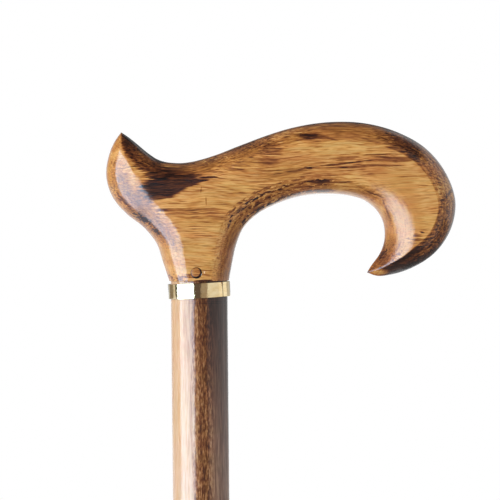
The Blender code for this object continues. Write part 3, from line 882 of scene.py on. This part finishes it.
def paintMarks(add, toast, point, ragged, marks, within=None):
    # The gradient keeps the shader small, which with this many marks is needed for it to compile
    for x, z, halfLength, halfHeight, tilt, level, softness, raggedness in marks.values():
        placed = {
            "Vector": point,
            "Location": (x, 0, z),
            "Rotation": (0, -math.radians(tilt), 0),
            "Scale": (halfLength * markSpread, markDepth, halfHeight * markSpread),
        }
        fitted = add("ShaderNodeMapping", placed, vector_type="TEXTURE")
        gradient = add("ShaderNodeTexGradient", {"Vector": fitted}, gradient_type="SPHERICAL")
        tearing = {0: ragged, 1: -raggedness / markSpread, 2: gradient.outputs["Fac"]}
        torn = add("ShaderNodeMath", tearing, operation="MULTIPLY_ADD")
        outside, inside = (1 - (1 + side * softness) / markSpread for side in (1, -1))
        # A smooth step stays in its range without a clamp
        cover = add("ShaderNodeMapRange", ramped(torn, outside, inside), clamp=False, **smoothly)
        if within:
            cover = add("ShaderNodeMath", {0: cover, 1: within}, operation="MULTIPLY")
        toast = add("ShaderNodeMix", {"Factor": cover, 2: toast, 3: level}, data_type="FLOAT")
    return toast


def scorchedWood():
    material, add, shader = woodMaterial("flame_scorched_hardwood")
    stain, fades = handleStain, handleFades
    point = millimetres(add, (0, 0, seatHeight))
    x, y, z = add("ShaderNodeSeparateXYZ", {0: point}).outputs
    # The grain runs along the handle in slow waves: bands 3 mm thick, fibre lines 1 mm and finer
    waves = stretchedNoise(add, point, (0.03, 0.05, 0.07), 1.0)
    swung = shifted(add, z, waves, stain["grainSwing"])
    grain = add("ShaderNodeCombineXYZ", {"X": x, "Y": y, "Z": swung})
    bands = stretchedNoise(add, grain, (0.035, 0.12, 0.3), 2.0)
    lines = stretchedNoise(add, grain, (0.06, 0.9, 1.4), 4.0)
    fineLines = stretchedNoise(add, grain, (0.2, 1.6, 2.4), 2.0)
    dashes = stretchedNoise(add, grain, (0.14, 1.5, 2.4), 1.0, 0.56, 0.66)
    ragged = add("ShaderNodeMapRange", ramped(lines, 0.0, 1.0, -1.0, 1.0))

    reach, place, fibres = {}, {}, {}
    for name, (along, across, strength) in edgeFibres.items():
        reach[name] = add("ShaderNodeAttribute", attribute_name=name + "Reach").outputs["Fac"]
        travelled = add("ShaderNodeAttribute", attribute_name=name + "Along").outputs["Fac"]
        inwards = add("ShaderNodeMath", {0: reach[name], 1: stain["reachWidth"]}, operation="MULTIPLY")
        place[name] = add("ShaderNodeCombineXYZ", {"X": travelled, "Y": y, "Z": inwards})
        fibres[name] = stretchedNoise(add, place[name], (along, 0.1, across), 3.0, 0.4, 0.6)

    # Behind the middle plane the marks drift, so that the back has its own pattern
    behind = add("ShaderNodeMath", {0: y, 1: 0.0}, operation="MAXIMUM")
    drift = add("ShaderNodeCombineXYZ", dict(zip("XZ", stain["backDrift"])))
    drifted = add("ShaderNodeVectorMath", {0: drift, "Scale": behind}, operation="SCALE")
    marked = add("ShaderNodeVectorMath", {0: point, 1: drifted}, operation="ADD")

    toast = shifted(add, stain["wood"], bands, stain["bands"])
    # The right side of the neck is browner towards its edge
    neckSide = add("ShaderNodeMapRange", ramped(reach["under"], *fades["neckSide"]), **smoothly)
    lowDown = add("ShaderNodeMapRange", ramped(z, *fades["lowDown"]))
    neckSide = add("ShaderNodeMath", {0: neckSide, 1: lowDown}, operation="MULTIPLY")
    toast = add("ShaderNodeMath", {0: toast, 1: neckSide}, operation="MAXIMUM")
    # Dashed dark lines follow the fingers' edge, with mottling between them
    inFromEdge = shifted(add, reach["under"], fibres["under"], stain["ragged"])
    strokes = strip(add, inFromEdge, *stain["mottled"])
    for inside, level in stain["strokes"]:
        line = strip(add, inFromEdge, inside, *stain["strokeWidth"], level)
        strokes = add("ShaderNodeMath", {0: strokes, 1: line}, operation="MAXIMUM")
    broken = stretchedNoise(add, place["under"], (0.55, 0.1, 1.2), 2.0, 0.4, 0.48)
    byFingers = strip(add, x, *stain["byFingers"])
    higherUp = add("ShaderNodeMapRange", ramped(z, *fades["higherUp"]))
    for mask in (broken, byFingers, higherUp):
        strokes = add("ShaderNodeMath", {0: strokes, 1: mask}, operation="MULTIPLY")
    toast = add("ShaderNodeMath", {0: toast, 1: strokes}, operation="MAXIMUM")
    toast = paintMarks(add, toast, marked, ragged, handleMarks)
    nearTop = {}
    for fade, edge in (("beakTop", "back"), ("outerSide", "under")):
        nearer = add("ShaderNodeMath", {0: reach[edge], 1: reach["top"]}, operation="SUBTRACT")
        nearTop[fade] = add("ShaderNodeMapRange", ramped(nearer, *fades[fade]))
    toast = paintMarks(add, toast, marked, ragged, beakMarks, nearTop["beakTop"])
    rim = add("ShaderNodeMapRange", ramped(reach["top"], *fades["rim"]), **smoothly)
    rim = add("ShaderNodeMath", {0: rim, 1: nearTop["outerSide"]}, operation="MULTIPLY")
    toast = paintMarks(add, toast, marked, ragged, rimMarks, rim)
    toast = paintMarks(add, toast, marked, ragged, knotMarks)

    # The hook's outer rim is speckled
    speckle = stretchedNoise(add, place["top"], (0.7, 0.8, 1.1), 2.0, 0.4, 0.6)
    hookRim = add("ShaderNodeMapRange", ramped(x, *fades["hookRim"]))
    hookRim = add("ShaderNodeMath", {0: hookRim, 1: rim}, operation="MULTIPLY")
    toast = shifted(add, toast, speckle, hookRim)
    # Lines run over all of it, stronger in the darker bands. On the beak's back and inside the hook
    # the fibres lie more square to the face and show less.
    insideHook = strip(add, x, *stain["insideHook"])
    onHook = add("ShaderNodeMath", {0: reach["under"], 1: insideHook}, operation="SUBTRACT")
    squarely = add("ShaderNodeMath", {0: reach["back"], 1: onHook}, operation="MINIMUM")
    clear = add("ShaderNodeMapRange", ramped(squarely, *fades["clear"]))
    strength = add("ShaderNodeMapRange", ramped(bands, 0.0, 1.0, *stain["lines"]))
    for pattern, amount in ((lines, strength), (fineLines, stain["fineLines"]), (dashes, stain["dashes"])):
        amount = add("ShaderNodeMath", {0: clear, 1: amount}, operation="MULTIPLY")
        toast = shifted(add, toast, pattern, amount)
    # Painted shade: a thin dark line along the upper outline stands in for the dark that the rounded edge
    # mirrors; the low value is toast added all over
    topRimShade = add("ShaderNodeMapRange", ramped(reach["top"], *fades["toastAndTopRimShade"]), **smoothly)
    toast = add("ShaderNodeMath", {0: toast, 1: topRimShade}, operation="ADD")
    for name, (along, across, strength) in edgeFibres.items():
        cut = add("ShaderNodeMapRange", ramped(reach[name], *fades["cutFibres"], strength))
        toast = shifted(add, toast, fibres[name], cut)
    # Inside the hook the lacquer was hard to rub out
    grit = stretchedNoise(add, point, (4.0, 4.0, 4.0), 1.0)
    matt = add("ShaderNodeMath", {0: grit, 1: insideHook}, operation="MULTIPLY")
    # A dent beside the peg, on the front only
    aside, up, size = pegPlace["dent"]
    placed = {
        "Vector": point,
        "Location": (pegPlace["aside"] + aside, -neckRadius / mm, pegPlace["up"] + up),
        "Scale": (size * pegPlace["dentNarrowing"], neckRadius / mm, size),
    }
    fitted = add("ShaderNodeMapping", placed, vector_type="TEXTURE")
    fromDent = add("ShaderNodeVectorMath", {0: fitted}, operation="LENGTH").outputs["Value"]
    dent = add("ShaderNodeMapRange", {"Value": fromDent}, **smoothly)
    relief = ((matt, "mattHeight"), (dent, "dentDepth"))
    finishWood(add, shader, point, handleShades, toast, lines, relief=relief)
    return material


# Across the shaft x runs in mm from the pale side (-) to the scorched side (+). Start, middle and
# side have two values, at the collar and 75 mm down.
shaftStain = {
    "heights": (-6, -75),
    "pale": 0.04,
    "start": (-6.8, -4.4),
    "end": 0.8,
    "ragged": 1.6,
    "middle": (0.62, 0.52),
    "side": (0.8, 0.42),
    "toSide": (2.2, 5.0),
    "greySide": (2.5, 6.5, 1, 0.72),  # from here to there the colour fades to this saturation
    "speckled": (1.0, 2.0, 3.0, 0.34),  # middle, half width, edge, strength
    "darkRings": (-7.65, -8.25),  # z of two thin darker rings below the collar
    "darkRing": (0.08, 0.1, 0.14),  # half width, edge, strength
    "broad": 0.12,
    "lines": 0.14,
    "fineLines": 0.18,
}


def stainedWood():
    # The grain runs down the shaft: one side was kept pale, the other scorched
    material, add, shader = woodMaterial("scorched_shaft_hardwood")
    stain = shaftStain
    point = millimetres(add, (0, 0, seatHeight))
    x, y, z = add("ShaderNodeSeparateXYZ", {0: point}).outputs
    lines = stretchedNoise(add, point, (0.9, 0.9, 0.03), 4.0)
    fineLines = stretchedNoise(add, point, (2.2, 2.2, 0.12), 2.0)
    specks = stretchedNoise(add, point, (1.9, 1.9, 0.5), 4.0, 0.38, 0.62)
    broad = stretchedNoise(add, point, (0.14, 0.14, 0.012), 2.0)
    down = add("ShaderNodeMapRange", ramped(z, *stain["heights"]))
    start, middle, side = (
        add("ShaderNodeMapRange", ramped(down, 0.0, 1.0, *stain[name]))
        for name in ("start", "middle", "side")
    )
    across = shifted(add, x, lines, stain["ragged"])
    scorched = add("ShaderNodeMapRange", ramped(across, start, stain["end"]))
    further = add("ShaderNodeMapRange", ramped(across, *stain["toSide"]))
    level = add("ShaderNodeMix", {"Factor": further, 2: middle, 3: side}, data_type="FLOAT")
    level = shifted(add, level, broad, stain["broad"])
    toast = add("ShaderNodeMix", {"Factor": scorched, 2: stain["pale"], 3: level}, data_type="FLOAT")
    # Where pale and dark meet the scorching is speckled
    speckled = strip(add, x, *stain["speckled"])
    toast = shifted(add, toast, specks, speckled)
    # Two thin darker rings below the collar, on the scorched side only
    for height in stain["darkRings"]:
        darkened = strip(add, z, height, *stain["darkRing"])
        darkened = add("ShaderNodeMath", {0: darkened, 1: scorched}, operation="MULTIPLY")
        toast = add("ShaderNodeMath", {0: toast, 1: darkened}, operation="ADD")
    toast = shifted(add, toast, lines, stain["lines"])
    toast = shifted(add, toast, fineLines, stain["fineLines"])
    saturation = add("ShaderNodeMapRange", ramped(x, *stain["greySide"]))
    finishWood(add, shader, point, shaftShades, toast, lines, saturation)
    return material


def pegWood():
    # Sanded and lacquered with the handle, its fibres nearly in line with the handle's
    material, add, shader = woodMaterial("peg_hardwood")
    spec = pegPlace
    point = millimetres(add, (spec["aside"] * mm, 0, seatHeight + spec["up"] * mm))
    grain = stretchedNoise(add, point, (0.4, 0.2, 2.2), 3.0)
    x, y, z = add("ShaderNodeSeparateXYZ", {0: point}).outputs
    # Painted shadow: a dark crescent on its lower right, away from the light, where the gap round it lies
    # in shade
    unshadedX, unshadedZ, unshadedRadius = spec["unshaded"]
    across = add("ShaderNodeCombineXYZ", {"X": x, "Z": z})
    apart = add("ShaderNodeVectorMath", {0: across, 1: (unshadedX, 0, unshadedZ)}, operation="DISTANCE")
    edge = [unshadedRadius + beside for beside in spec["shadowEdge"]]
    shadowCrescent = ramped(apart.outputs["Value"], *edge, *spec["shadowToast"])
    toast = add("ShaderNodeMapRange", shadowCrescent, **smoothly)
    toast = shifted(add, toast, grain, spec["grain"])
    finishWood(add, shader, point, handleShades, toast, grain)
    return material


# The other materials vary between two colours and between two roughnesses, and are a little uneven
plainSurface = {
    # name: (colours, roughness, mm deep)
    "brass": (("#E2C896", "#ECD8AC"), (0.04, 0.12), 0.015),
    "rubber": (("#1B1A1A", "#34322F"), (0.5, 0.68), 0.03),
    "zinc": (("#A9ADB1", "#C9CCD0"), (0.28, 0.42), 0.01),
}


def finishPlain(add, shader, name, tinting, roughening, uneven):
    colours, roughness, depth = plainSurface[name]
    colour = add("ShaderNodeValToRGB", {"Fac": tinting}, stops=tuple(enumerate(colours)))
    rough = add("ShaderNodeMapRange", ramped(roughening, 0.0, 1.0, *roughness))
    bump = add("ShaderNodeBump", {"Height": uneven, "Distance": depth * mm})
    setInputs(shader, {"Base Color": colour, "Roughness": rough, "Normal": bump})


def polishedBrass():
    # Rolled brass strip, polished and a little uneven: mirror-like, with reflections that waver
    material, add, shader = newMaterial("polished_brass", {"Metallic": 1.0})
    point = millimetres(add)
    uneven = stretchedNoise(add, point, (0.9, 0.9, 0.5), 3.0)
    brushed = stretchedNoise(add, point, (0.4, 0.4, 6.0), 2.0)
    tarnish = stretchedNoise(add, point, (0.3, 0.3, 0.6), 3.0)
    finishPlain(add, shader, "brass", tarnish, brushed, uneven)
    return material


def mouldedRubber():
    # Black moulded rubber: matt, faintly mottled, greyer where it meets the floor
    material, add, shader = newMaterial("moulded_rubber", {"Specular IOR Level": 0.4})
    point = millimetres(add)
    grain = stretchedNoise(add, point, (1.6, 1.6, 1.6), 2.0)
    cloudy = stretchedNoise(add, point, (0.1, 0.1, 0.1), 3.0)
    height = add("ShaderNodeSeparateXYZ", {0: point}).outputs["Z"]
    scuffHeight, clouding = 3.0, 0.6
    scuffed = add("ShaderNodeMapRange", ramped(height, scuffHeight, 0.0))
    dusty = shifted(add, scuffed, cloudy, clouding)
    finishPlain(add, shader, "rubber", dusty, grain, grain)
    return material


def zincPlatedSteel():
    # Stamped steel with bright zinc on it: grey-blue, satin, with a fine crystal pattern
    material, add, shader = newMaterial("zinc_plated_steel", {"Metallic": 1.0})
    crystals = add("ShaderNodeTexVoronoi", {"Vector": millimetres(add), "Scale": 0.8}).outputs["Color"]
    shade = stretchedNoise(add, crystals, (3.0, 3.0, 3.0), 1.0)
    finishPlain(add, shader, "zinc", shade, shade, shade)
    return material


handle = makeHandle(scorchedWood())
shaft = makeShaft(stainedWood())
peg = makePeg(pegWood())
collar = makeCollar(polishedBrass())
ferrule = makeFerrule(mouldedRubber())
disc = makeDisc(zincPlatedSteel())
print("pieces made")

for piece, node, body, slot in (
    (handle, "handle", "stick", "handle_wood"),
    (shaft, "shaft", "stick", "shaft_wood"),
    (peg, "joint_peg", "stick", "peg_wood"),
    (collar, "collar", "stick", "collar_brass"),
    (ferrule, "rubber_ferrule", "ferrule", "ferrule_rubber"),
    (disc, "ferrule_disc", "ferrule", "disc_steel"),
):
    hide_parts(node)
    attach(piece, body)
    print(piece.name, len(piece.data.polygons), "faces")


# Studio

studio = {
    "cameraDistance": 1.6,
    "frameWidth": 185,  # mm that the photo spans at the handle
    "target": (18.94, 0, 11.1),  # mm from the middle of the neck's end, what the photo's middle shows
    "elevation": 1.0,  # degrees
    "roll": 0.526,
    "lampTurn": -53,  # degrees from the camera's side, towards the beak
    "lampRise": 0.25,
    "lampSize": (1.1, 1.2),
    "lampPower": 9.6,
    "fill": 0.45,  # the white room's share of the light
    "floorRadius": 30,
    "floorGrey": 0.9,
    "floorFade": (1.2, 4.0),  # metres away, over which it turns as white as the room
}
studioMiddle = Vector((20 * mm, 0, seatHeight + 25 * mm))


def addCamera():
    camera = bpy.data.cameras.new("camera")
    camera.sensor_width = 36
    camera.lens = camera.sensor_width * studio["cameraDistance"] / (studio["frameWidth"] * mm)
    scene.camera = made = addObject("camera", camera)
    tilt, roll = math.radians(90 - studio["elevation"]), math.radians(studio["roll"])
    made.rotation_euler = Euler((tilt, roll, 0), "XYZ")
    target = Vector(studio["target"]) * mm + Vector((0, 0, seatHeight))
    made.location = target + made.rotation_euler.to_matrix() @ Vector((0, 0, studio["cameraDistance"]))


# Cards round the handle that only its gloss shows. Degrees from the camera's side round to the nose
# (+) or to the beak (-), then degrees of height. The lamp and the white room light the colours.
cardDistance = 0.7  # metres
cardColumns = 24
cards = {
    # name: (from, to, low, high, glow, colour)
    "softbox": (-86, -23, -17, 35, 13.5, "#BCE0FF"),
    "softbox_foot": (-86, -23, -52, -17, 13.5, "#BCE0FF"),
    "over_softbox": (-86, -23, 35, 66, 0.2, "#FFFFFF"),
    "dark_front": (-23, 6, -52, 66, 0.13, "#FFE4E0"),
    "dim_front": (6, 30, -52, 66, 0.4, "#FFEEE0"),
    "pale_right": (30, 80, -52, 40, 0.89, "#FFFFFF"),
    "right_end": (80, 125, -14, 40, 1.1, "#FFFFFF"),
    "below_right_end": (80, 125, -52, -14, 0.25, "#FFFFFF"),
    "dim_back": (125, 165, -14, 40, 0.6, "#FFFFFF"),
    "below_dim_back": (125, 165, -52, -14, 0.2, "#FFFFFF"),
    "white_sweep": (165, 195, -52, -4, 1.4, "#FFFFFF"),
    "dark_back": (165, 195, -4, 66, 0.12, "#FFFFFF"),
    "far_left": (-165, -141, -10, 20, 0.8, "#E8F0FF"),
    "brown_left": (-141, -111, -10, 20, 0.3, "#FFF3E4"),
    "pale_left": (-111, -98, -10, 20, 0.8, "#FFFFFF"),
    "dark_left": (-98, -86, -10, 20, 0.12, "#FFFFFF"),
    "below_left": (-165, -86, -52, -10, 1.1, "#E8F0FF"),
    "above_left": (-165, -86, 20, 66, 0.15, "#FFFFFF"),
    "dark_above": (30, 165, 40, 66, 0.08, "#FFFFFF"),
}
softboxFade = (-60, -24)  # degrees of height over which its lower end fades in
softboxLean = 18  # degrees that the foot's left side leans out
lids = {
    # name: (degrees of height of its rim, radius, glow, colour)
    "ceiling": (66, cardDistance, 0.08, "#FFFFFF"),
    "dark_below": (-52, 0.34, 0.3, "#FFE8DC"),
}
lidSides = 48


def glowing(name, glow, colour):
    material = bpy.data.materials.new(name)
    add = emptyTree(material)
    strength = glow
    if name.startswith("softbox"):
        place = add("ShaderNodeTexCoord").outputs["Object"]
        height = add("ShaderNodeSeparateXYZ", {0: place}).outputs["Z"]
        low, high = (studioMiddle.z + cardDistance * math.tan(math.radians(a)) for a in softboxFade)
        strength = add("ShaderNodeMapRange", ramped(height, low, high, 0.0, glow), **smoothly)
    light = add("ShaderNodeEmission", {"Color": linear(colour), "Strength": strength})
    add("ShaderNodeOutputMaterial", {"Surface": light})
    return material


def stageCard(name, shape, glow, colour):
    card = fromShape(name, shape, glowing(name, glow, colour))
    card.visible_camera = card.visible_diffuse = card.visible_shadow = False
    card.visible_transmission = card.visible_volume_scatter = False


def addCards():
    # Each is a part of an upright tube round the handle
    for name, (start, end, low, high, glow, colour) in cards.items():
        shape = bmesh.new()
        lean = softboxLean if name == "softbox_foot" else 0
        grid = []
        for i in range(cardColumns + 1):
            pair = []
            for height, leaning in ((low, lean), (high, 0)):
                turn = math.radians(start - leaning + (end - start + leaning) * i / cardColumns)
                rise = math.tan(math.radians(height))
                away = Vector((math.sin(turn), -math.cos(turn), rise)) * cardDistance
                pair.append(shape.verts.new(studioMiddle + away))
            grid.append(pair)
        for one, two in zip(grid, grid[1:]):
            shape.faces.new((one[0], two[0], two[1], one[1]))
        stageCard(name, shape, glow, colour)
    for name, (height, radius, glow, colour) in lids.items():
        lid = bmesh.new()
        bmesh.ops.create_circle(lid, cap_ends=True, segments=lidSides, radius=radius)
        up = Vector((0, 0, radius * math.tan(math.radians(height))))
        bmesh.ops.translate(lid, verts=lid.verts, vec=studioMiddle + up)
        stageCard(name, lid, glow, colour)


def addLight():
    lamp = bpy.data.lights.new("key", "AREA")
    lamp.shape = "RECTANGLE"
    lamp.size, lamp.size_y = studio["lampSize"]
    lamp.energy = studio["lampPower"]
    key = addObject("key", lamp)
    turn = math.radians(studio["lampTurn"])
    key.location = studioMiddle + Vector((math.sin(turn), -math.cos(turn), studio["lampRise"]))
    key.rotation_euler = (studioMiddle - key.location).to_track_quat("-Z", "Y").to_euler()
    key.visible_glossy = False
    scene.world = bpy.data.worlds.new("white room")
    add = emptyTree(scene.world)
    ray = add("ShaderNodeLightPath").outputs
    seen = ray["Is Camera Ray"]
    for kind in ("Is Glossy Ray", "Is Transmission Ray"):
        seen = add("ShaderNodeMath", {0: seen, 1: ray[kind]}, operation="MAXIMUM")
    level = add("ShaderNodeMapRange", ramped(seen, 0.0, 1.0, studio["fill"]))
    sky = add("ShaderNodeBackground", {"Color": (1, 1, 1, 1), "Strength": level})
    add("ShaderNodeOutputWorld", {"Surface": sky})


def addFloor():
    material = bpy.data.materials.new("pale_floor")
    add = emptyTree(material)
    place = add("ShaderNodeTexCoord").outputs["Object"]
    away = add("ShaderNodeVectorMath", {0: place}, operation="LENGTH").outputs["Value"]
    far = add("ShaderNodeMapRange", ramped(away, *studio["floorFade"]), **smoothly)
    matt = add("ShaderNodeBsdfDiffuse", {"Color": (*[studio["floorGrey"]] * 3, 1)})
    white = add("ShaderNodeEmission", {"Color": (1, 1, 1, 1), "Strength": 1.0})
    mix = add("ShaderNodeMixShader", {0: far, 1: matt, 2: white})
    add("ShaderNodeOutputMaterial", {"Surface": mix})
    shape = bmesh.new()
    bmesh.ops.create_circle(shape, cap_ends=True, segments=2 * lidSides, radius=studio["floorRadius"])
    fromShape("floor", shape, material)


addCamera()
addCards()
addLight()
addFloor()
scene.view_settings.view_transform = "Standard"
print("studio set")

bpy.context.view_layer.update()
